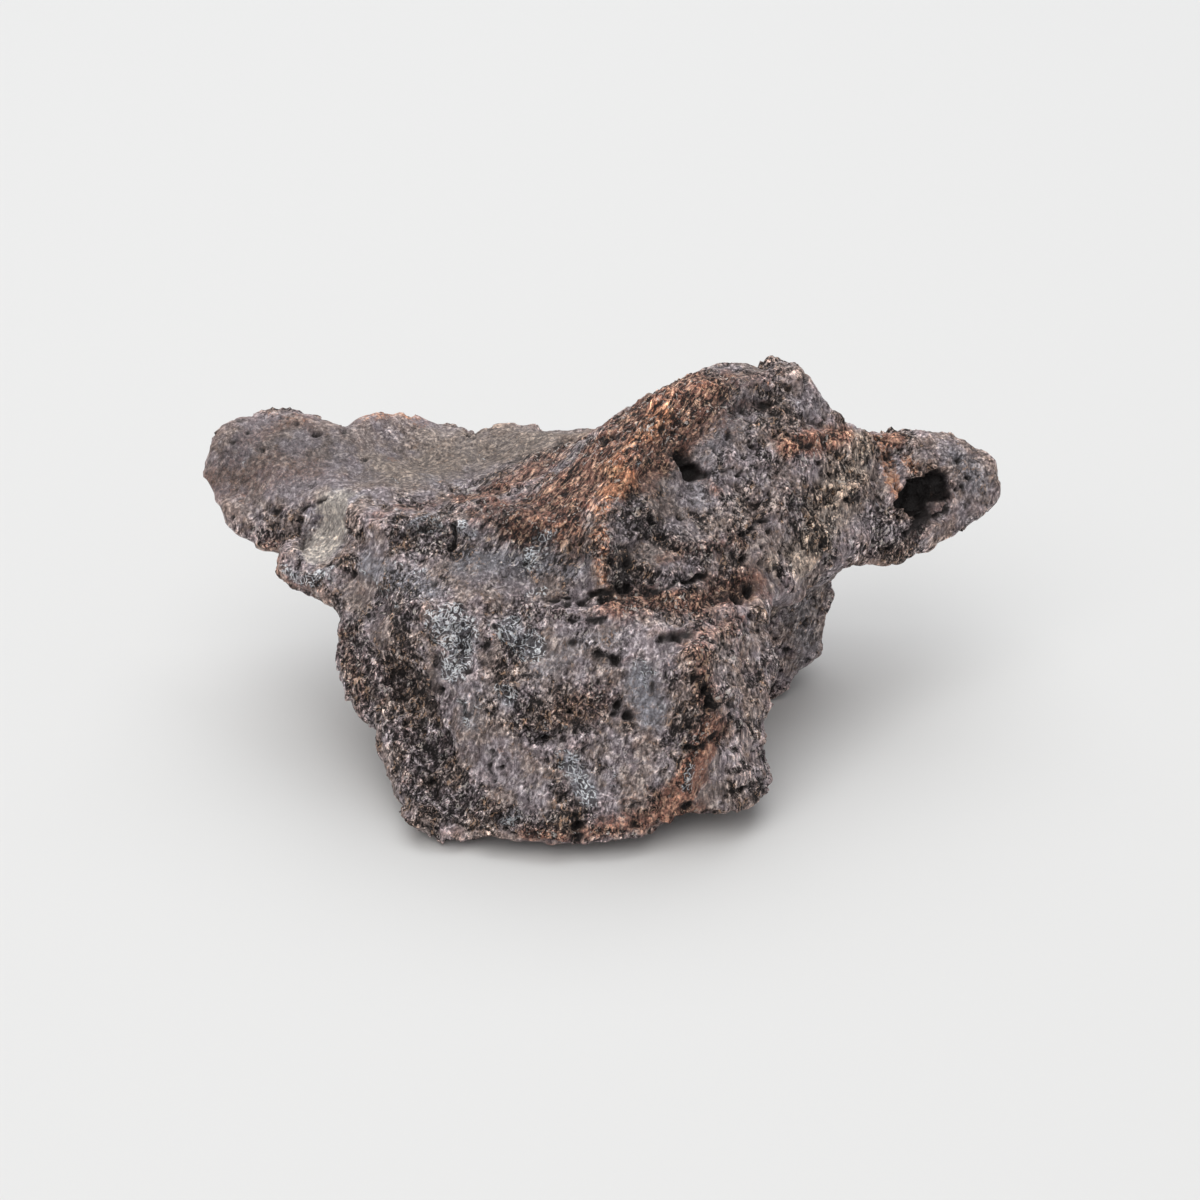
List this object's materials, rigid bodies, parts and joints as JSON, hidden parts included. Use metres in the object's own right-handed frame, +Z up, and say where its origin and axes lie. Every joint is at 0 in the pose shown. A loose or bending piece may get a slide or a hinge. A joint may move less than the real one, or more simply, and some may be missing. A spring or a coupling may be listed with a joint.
{
  "type": "meteorite",
  "caption": "Small weathered stony meteorite: a blunt front block, a ridge that climbs to a peak, and a tapering arm out to each side.",
  "frame": {"origin": "middle of the stone's box in X and Y, at the height of the surface it lies on", "axes": "+X along the arms, the stone's greatest length, towards the shorter arm with the open cavity; +Y from the blunt front block to the back rim; +Z up as it lies, its least extent"},
  "size_m": [0.0384, 0.0208, 0.0162],
  "materials": {
    "meteorite": "dark brown fusion crust, weathered to rust on its ridges, with small glossy grey glints and pale dust in its hollows"
  },
  "bodies": {
    "root": {"meteorite": "meteorite"}
  },
  "joints": []
}
